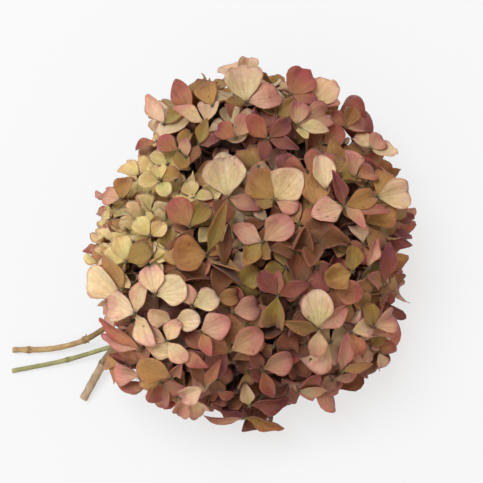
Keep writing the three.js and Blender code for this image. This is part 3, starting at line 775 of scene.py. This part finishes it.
def heroBlades(name, blades, dice):
    # the front florets of one bloom, found through the camera, with the pixels that they cover
    hearts, covered, since = [], [], 0
    for pixel, leaves in heroes:
        heart = seenAt(pixel)
        if max(blooms, key=lambda other: clearOf(blooms[other], heart)) != name:
            continue
        normal = (skinNormal(heart) + towardsCamera * front["towards"]).normalized()
        heart = underCover(heart + normal * dice.choice(front["heights"]), -towardsCamera)
        metre = (heart - cameraSpot).length / focal
        base = facingMatrix(heart, normal, 0)
        # the tints take the zone lift, partly painted light and shade, made darker still by the front lift
        lift = toneAndPaintedLightAt(pixel) + front["lift"]
        for i, (degrees, length, share, tone, steep) in enumerate(leaves):
            turn, rise = math.radians(degrees), math.radians(steep)
            size = length * metre / max(math.cos(rise), 0.5)
            shape = looseShape(size, size * share * front["widen"], rise, tone, lift, 0, dice)
            shape.update({key: dice.uniform(*span) for key, span in front["ranges"].items()})
            shape["point"] = front["sharp"] if share < front["narrow"] else dice.uniform(*front["blunt"])
            shape["skew"] = 0
            step = Matrix.Translation((0, 0, front["step"] * i))
            facing = base @ step @ Matrix.Rotation(turn - math.pi / 2, 4, "Z")
            layBlade(blades, "fine", facing, shape, -towardsCamera, True)
            since = settle(blades, since, 1)
            reach = length * front["belly"]
            covered.append((pixel[0] + math.cos(turn) * reach, pixel[1] - math.sin(turn) * reach))
        covered.append(pixel)
        hearts.append((heart, normal, 1.0))
    return hearts, covered


# the seeded florets: outside and, much darker with painted shade, deeper in; gap in metres, clear in pixels, levels
# as shares
coat = {"outer": {"tries": 2200, "gap": 0.0118, "levels": (0.9, 0.97), "shade": 0.04, "clear": 9, "grid": "fine"},
        "inner": {"tries": 800, "gap": 0.014, "levels": (0.72, 0.8), "shade": 0.75, "clear": 0, "grid": "plain"}}
# what both share: calm florets are those close to the front ones, small ones are the green ones
laying = {"down": 1.94, "low": 0.007, "seam": -0.004, "greenSize": 0.72, "greenGap": 0.7, "turnedAway": 0.15,
          "calm": (9, 28), "edgeSink": 0.0035, "calmSink": 0.0015, "tilt": (0.7, 0.25), "spin": 6.28,
          "size": (0.72, 1.1), "far": 99, "every": 24}


def coatBlades(bloom, layer, taken, covered, blades, dice):
    middle = place(bloom["middle"])
    hearts, since = [], len(blades)
    for direction in spiral(layer["tries"], laying["down"]):
        level = dice.uniform(*layer["levels"])
        reach = skinReach(middle, direction)
        heart = middle + direction * reach * level
        if heart.z < laying["low"] or clearOf(bloom, heart) < laying["seam"]:
            continue
        seen = pixelOf(heart)
        tone = toneAt(seen, dice)
        small = laying["greenSize"] if tone == "green" else 1.0
        gap = layer["gap"] * (laying["greenGap"] if tone == "green" else 1.0)
        if any((heart - other).length < gap for other in taken):
            continue
        flat = skinNormal(heart)
        facing = flat.dot(towardsCamera)
        near = laying["far"]
        if covered and facing > laying["turnedAway"]:
            near = min(math.dist(seen, spot) for spot in covered)
        if near < layer["clear"] * small:
            continue
        calm = 1 - smooth(*laying["calm"], near)
        sink = laying["edgeSink"] * (1 - smooth(0.0, 0.5, abs(facing))) + laying["calmSink"] * calm * small
        heart -= direction * sink
        stray = Vector([dice.uniform(-1, 1) for _ in range(3)])
        normal = (flat + stray * mix(*laying["tilt"], calm)).normalized()
        heart = underCover(heart, -flat)
        spin = dice.uniform(0, laying["spin"])
        addFloret(blades, layer, heart, normal, spin, small * dice.uniform(*laying["size"]), tone, calm, dice)
        if layer["grid"] == "fine":
            since = settle(blades, since, laying["every"])
        taken.append(heart)
        hearts.append((heart, normal, small))
    return hearts


def addTube(bm, points, radii, sides):
    # a ring is drawn out from point to point and its ends are filled
    direction = (points[1] - points[0]).normalized()
    spin = up.rotation_difference(direction)
    before = Matrix.Translation(points[0]) @ spin.to_matrix().to_4x4() @ Matrix.Scale(radii[0], 4)
    ring = bmesh.ops.create_circle(bm, cap_ends=False, segments=sides, radius=1, matrix=before)["verts"]
    edges = list(dict.fromkeys(e for v in ring for e in v.link_edges))
    first = list(edges)
    for i in range(1, len(points)):
        last = direction
        direction = (points[min(i + 1, len(points) - 1)] - points[i - 1]).normalized()
        spin = last.rotation_difference(direction) @ spin
        after = Matrix.Translation(points[i]) @ spin.to_matrix().to_4x4() @ Matrix.Scale(radii[i], 4)
        made = bmesh.ops.extrude_edge_only(bm, edges=edges)["geom"]
        verts = [g for g in made if isinstance(g, bmesh.types.BMVert)]
        edges = [g for g in made if isinstance(g, bmesh.types.BMEdge)]
        bmesh.ops.transform(bm, matrix=after @ before.inverted(), verts=verts)
        before = after
    return bmesh.ops.holes_fill(bm, edges=first + edges, sides=sides)["faces"]


# hearts: a bead with four dry stamens, in metres and radians
bead = {"radius": 0.001, "flat": 0.7, "rise": 0.0006, "stamens": 4, "first": 0.4, "quarter": 1.5708, "lean": 0.7,
        "out": 0.0014, "long": 0.0018, "foot": 0.0003, "tip": 0.00016}
# stalks: from the middle to the forks, and from the nearest fork to each heart
stalk = {"forks": 14, "down": 1.8, "at": 0.45, "sag": (0.003, 0.002), "thick": [0.0018, 0.0014, 0.001],
         "thin": [0.0009, 0.00065, 0.0005, 0.00045], "knee": 0.012, "bend": 0.55, "sides": (6, 4)}
# a small knobbly core of crumpled sepals closes the middle; its dark brown is painted shade
core = {"splits": 5, "size": 0.6, "lumps": [(4.0, 0.07), (13.0, 0.05)], "clear": 0.004, "soft": 0.05, "most": 0.9}


def addHeart(bm, heart, normal, size):
    base = facingMatrix(heart, normal, 0)
    seat = base @ Matrix.Translation((0, 0, bead["rise"])) @ Matrix.Diagonal((1, 1, bead["flat"], 1))
    bmesh.ops.create_icosphere(bm, subdivisions=1, radius=bead["radius"] * size, matrix=seat)
    for k in range(bead["stamens"]):
        turned = Matrix.Rotation(k * bead["quarter"] + bead["first"], 4, "Z")
        leaning = Matrix.Rotation(bead["lean"], 4, "Y") @ Matrix.Translation((0, 0, bead["out"]))
        bmesh.ops.create_cone(bm, segments=3, radius1=bead["foot"], radius2=bead["tip"], depth=bead["long"],
                              cap_ends=True, matrix=base @ (turned @ leaning))


def buildBloom(name, bloom, laid):
    for key, label in (("fine", "sepals"), ("plain", "innerSepals")):
        blades = buildBlades(laid[key], key)
        piece = pieceFrom(blades, label + name, finishes["sepal"], bloom["node"])
        thick = piece.modifiers.new("thickness", "SOLIDIFY")
        thick.thickness = sepal["thick"]
        thick.offset = 0
    bm = bmesh.new()
    for heart, normal, size in laid["hearts"]:
        addHeart(bm, heart, normal, size)
    pieceFrom(bm, "hearts" + name, finishes["heart"], bloom["node"])
    middle = place(bloom["middle"])
    bm = bmesh.new()
    forks = []
    for direction in spiral(stalk["forks"], stalk["down"]):
        fork = middle + direction * skinReach(middle, direction) * stalk["at"]
        forks.append(fork)
        sagging = (middle + fork) / 2 - up * stalk["sag"][0]
        addTube(bm, [middle, sagging, fork], stalk["thick"], stalk["sides"][0])
    for heart, normal, size in laid["hearts"] + laid["deep"]:
        fork = min(forks, key=lambda p: (p - heart).length)
        knee = heart - normal * stalk["knee"]
        sagging = fork.lerp(knee, stalk["bend"]) - up * stalk["sag"][1]
        addTube(bm, [fork, sagging, knee, heart], stalk["thin"], stalk["sides"][1])
    pieceFrom(bm, "stalks" + name, finishes["stalk"], bloom["node"])
    bm = bmesh.new()
    bmesh.ops.create_icosphere(bm, subdivisions=core["splits"], radius=1, matrix=Matrix.Translation(middle))
    for vert in bm.verts:
        direction = (vert.co - middle).normalized()
        lump = sum(noise.noise(direction * often) * high for often, high in core["lumps"])
        vert.co = middle + direction * skinReach(middle, direction) * (core["size"] + lump)
        gap = clearOf(bloom, vert.co)
        if gap < core["clear"]:
            vert.co = vert.co.lerp(middle, min((core["clear"] - gap) / core["soft"], core["most"]))
    pieceFrom(bm, "core" + name, finishes["core"], bloom["node"])


# the florets that stand out are laid first, so that all others lie under them, and the inner ones last
works = {name: {"dice": random.Random(bloom["seed"]), "fine": [], "plain": []} for name, bloom in blooms.items()}
covered = []
for name, work in works.items():
    work["hearts"], seen = heroBlades(name, work["fine"], work["dice"])
    covered += seen
print("florets in front laid")
for name, bloom in blooms.items():
    work = works[name]
    taken = [heart for heart, normal, size in work["hearts"]]
    work["hearts"] += coatBlades(bloom, coat["outer"], taken, covered, work["fine"], work["dice"])
    print("florets of", name, "laid")
for name, bloom in blooms.items():
    work = works[name]
    work["deep"] = coatBlades(bloom, coat["inner"], [], [], work["plain"], work["dice"])
    buildBloom(name, bloom, work)


# stems: the route, radius and leaf nodes of each are those of the part's source, in millimetres
stems = {
    "Left": {"node": "stem_left", "slot": "stem_olive", "radius": 1.68, "nodes": (9, 45, 66), "seed": 5, "young": 46,
             "route": [(-140, -52, 2.1), (-117, -51.5, 4.2), (-98, -47.5, 9), (-83, -41, 19), (-66, -33, 33),
                       (-52, -25, 44)],
             "tints": ((120, 86, 50), (166, 134, 88), (188, 166, 118), (98, 66, 44))},
    "Right": {"node": "stem_right", "slot": "stem_green", "radius": 1.36, "nodes": (33, 76, 120), "seed": 6,
              "young": 90,
              "route": [(-140, -64.5, 1.6), (-111, -59, 4), (-88, -53, 8), (-62, -45, 9), (-34, -37, 8),
                        (-6, -27, 16), (14, -16, 36)],
              "tints": ((94, 92, 52), (146, 142, 92), (176, 170, 122), (104, 88, 48))},
    "Top": {"node": "stem_top", "slot": "stem_brown", "radius": 2.4, "nodes": (26, 40, 84), "seed": 7, "young": 24,
            "route": [(-97, -81, 2.7), (-87, -64, 9), (-77.5, -51, 15), (-62, -28, 12), (-46, 0, 11), (-30, 20, 18),
                      (-20, 36, 27), (-9, 50, 38)],
            "tints": ((106, 80, 56), (156, 132, 104), (196, 176, 146), (84, 56, 38))},
}
# what all stems share, in metres, radians and shares of the radius
bark = {"step": 0.0016, "sides": 16, "knotLong": 0.0017, "knotWide": 0.3, "ripple": (900, 0.04), "ridge": (60, 0.05),
        "dents": (260, 0.06), "rim": (0.25, 0.08), "pith": (0.35, -0.3), "rimCut": 0.6}
scar = {"behind": 0.0008, "out": 0.86, "radius": 0.62, "shape": (1.15, 0.62, 0.5, 1)}
bud = {"ahead": 0.0011, "out": 0.9, "lean": -0.9, "foot": 0.42, "tip": 0.1, "long": 1.5, "sides": 8, "knot": 0.8}


def routePoints(route, step):
    # a smooth line through the route's points, at even steps
    ends = [route[0] * 2 - route[1]] + route + [route[-1] * 2 - route[-2]]
    fine = []
    for i in range(1, len(ends) - 2):
        a, b, c, d = ends[i - 1:i + 3]
        for k in range(24):
            t = k / 24
            bend = (a * 2 - b * 5 + c * 4 - d) * 0.5 * t * t + (b * 3 - a - c * 3 + d) * 0.5 * t ** 3
            fine.append(b + (c - a) * 0.5 * t + bend)
    fine.append(route[-1])
    points, gone = [fine[0]], 0.0
    for before, after in zip(fine, fine[1:]):
        gone += (after - before).length
        if gone >= step:
            points.append(after)
            gone = 0.0
    return points


def buildStem(name, stem):
    points = routePoints([place(p) for p in stem["route"]], bark["step"])
    thick = stem["radius"] * 0.001
    runs, far = [], 0.0
    for i, point in enumerate(points):
        far += (point - points[i - 1]).length if i else 0
        runs.append(far)
    knots = [min(range(len(runs)), key=lambda i: abs(runs[i] - at * 0.001)) for at in stem["nodes"]]
    knotty = [max(math.exp(-((run - runs[k]) / bark["knotLong"]) ** 2) for k in knots) for run in runs]
    often, high = bark["ripple"]
    radii = [thick * (1 + bark["knotWide"] * knot + high * math.sin(run * often)) for run, knot in zip(runs, knotty)]
    bm = bmesh.new()
    ends = addTube(bm, points, radii, bark["sides"])
    tree = kdtree.KDTree(len(points))
    for i, point in enumerate(points):
        tree.insert(point, i)
    tree.balance()
    layers = {key: bm.verts.layers.float.new(key) for key in ("along", "across", "knot", "cut", "sway")}
    for vert in bm.verts:
        # shallow ridges and dents of a dried stem
        i = tree.find(vert.co)[1]
        ahead = (points[min(i + 1, len(points) - 1)] - points[max(i - 1, 0)]).normalized()
        side = ahead.cross(up).normalized()
        away = vert.co - points[i]
        angle = math.atan2(away.dot(side.cross(ahead)), away.dot(side))
        ridge = bark["ridge"][1] * math.sin(angle * 3 + runs[i] * bark["ridge"][0])
        dent = ridge + bark["dents"][1] * noise.noise(vert.co * bark["dents"][0])
        vert.co = points[i] + away * (1 + dent)
        vert[layers["along"]] = runs[i] / 0.02
        vert[layers["across"]] = abs(angle) / math.pi
        vert[layers["knot"]] = knotty[i] ** 2
        vert[layers["sway"]] = stem["seed"] * 0.1
    # the sawn end is bevelled and its pith is pressed in
    face = min(ends, key=lambda face: (face.calc_center_median() - points[0]).length)
    rings = []
    for inset, depth in (bark["rim"], bark["pith"]):
        rings += bmesh.ops.inset_individual(bm, faces=[face], thickness=thick * inset, depth=thick * depth)["faces"]
    pith = set(face.verts)
    for vert in {v for f in rings + [face] for v in f.verts}:
        vert[layers["cut"]] = 1.0 if vert in pith else bark["rimCut"]
    # a pair of buds over crescent leaf scars at each node, turned a quarter from node to node
    for order, k in enumerate(knots):
        ahead = (points[k + 1] - points[k - 1]).normalized()
        side = ahead.cross(up).normalized() if order % 2 else ahead.cross(ahead.cross(up)).normalized()
        for sign in (1, -1):
            out = side * sign
            seat = Matrix((out.cross(ahead), ahead, out)).transposed().to_4x4()
            spot = points[k] - ahead * scar["behind"] + out * radii[k] * scar["out"]
            shaped = Matrix.Translation(spot) @ seat @ Matrix.Diagonal(scar["shape"])
            bmesh.ops.create_icosphere(bm, subdivisions=2, radius=thick * scar["radius"], matrix=shaped)
            spot = points[k] + ahead * bud["ahead"] + out * radii[k] * bud["out"]
            leaning = Matrix.Translation(spot) @ seat @ Matrix.Rotation(bud["lean"], 4, "X")
            verts = bmesh.ops.create_cone(bm, segments=bud["sides"], radius1=thick * bud["foot"],
                                          radius2=thick * bud["tip"], depth=thick * bud["long"],
                                          cap_ends=True, matrix=leaning)["verts"]
            for vert in verts:
                vert[layers["knot"]] = bud["knot"]
    bmesh.ops.recalc_face_normals(bm, faces=bm.faces)
    finish = stemFinish("bark" + name, stem["young"], stem["tints"])
    pieceFrom(bm, "stem" + name, finish, stem["node"])


for name, stem in stems.items():
    buildStem(name, stem)

# floor and light
table = {"half": 4, "tint": (112, 112, 113), "rough": 0.85, "glow": 0.667}
floorMesh = bpy.data.meshes.new("floor")
bm = bmesh.new()
bmesh.ops.create_grid(bm, x_segments=1, y_segments=1, size=table["half"])
bm.to_mesh(floorMesh)
bm.free()
floor = bpy.data.objects.new("floor", floorMesh)
scene.collection.objects.link(floor)
floorMesh.materials.append(Finish("paleTable").close({
    "Base Color": colour(*table["tint"]), "Roughness": table["rough"],
    "Emission Color": (1, 1, 1, 1), "Emission Strength": table["glow"]}))

studio = {"sky": 0.72, "skyTint": (1.0, 0.88, 0.74, 1.0), "aim": (0.02, 0, 0.05),
          "keyFrom": (-0.7, 0.5, 2.5), "keySize": 1.5, "keyPower": 70.0, "keyTint": (0.81, 0.9, 1.0),
          "fillFrom": (-0.9, -1.2, 2.0), "fillSize": 1.6, "fillPower": 13.0, "fillTint": (0.9, 0.95, 1.0)}
world = bpy.data.worlds.new("studio")
scene.world = world
world.use_nodes = True
sky = world.node_tree.nodes["Background"].inputs
sky["Color"].default_value = studio["skyTint"]
sky["Strength"].default_value = studio["sky"]
for name in ("key", "fill"):
    data = bpy.data.lights.new(name, "AREA")
    data.shape = "DISK"
    data.size = studio[name + "Size"]
    data.energy = studio[name + "Power"]
    data.color = studio[name + "Tint"]
    light = bpy.data.objects.new(name, data)
    light.location = studio[name + "From"]
    light.rotation_euler = (light.location - Vector(studio["aim"])).to_track_quat("Z", "Y").to_euler()
    scene.collection.objects.link(light)
scene.view_settings.view_transform = "Standard"
print("floor and lights made")
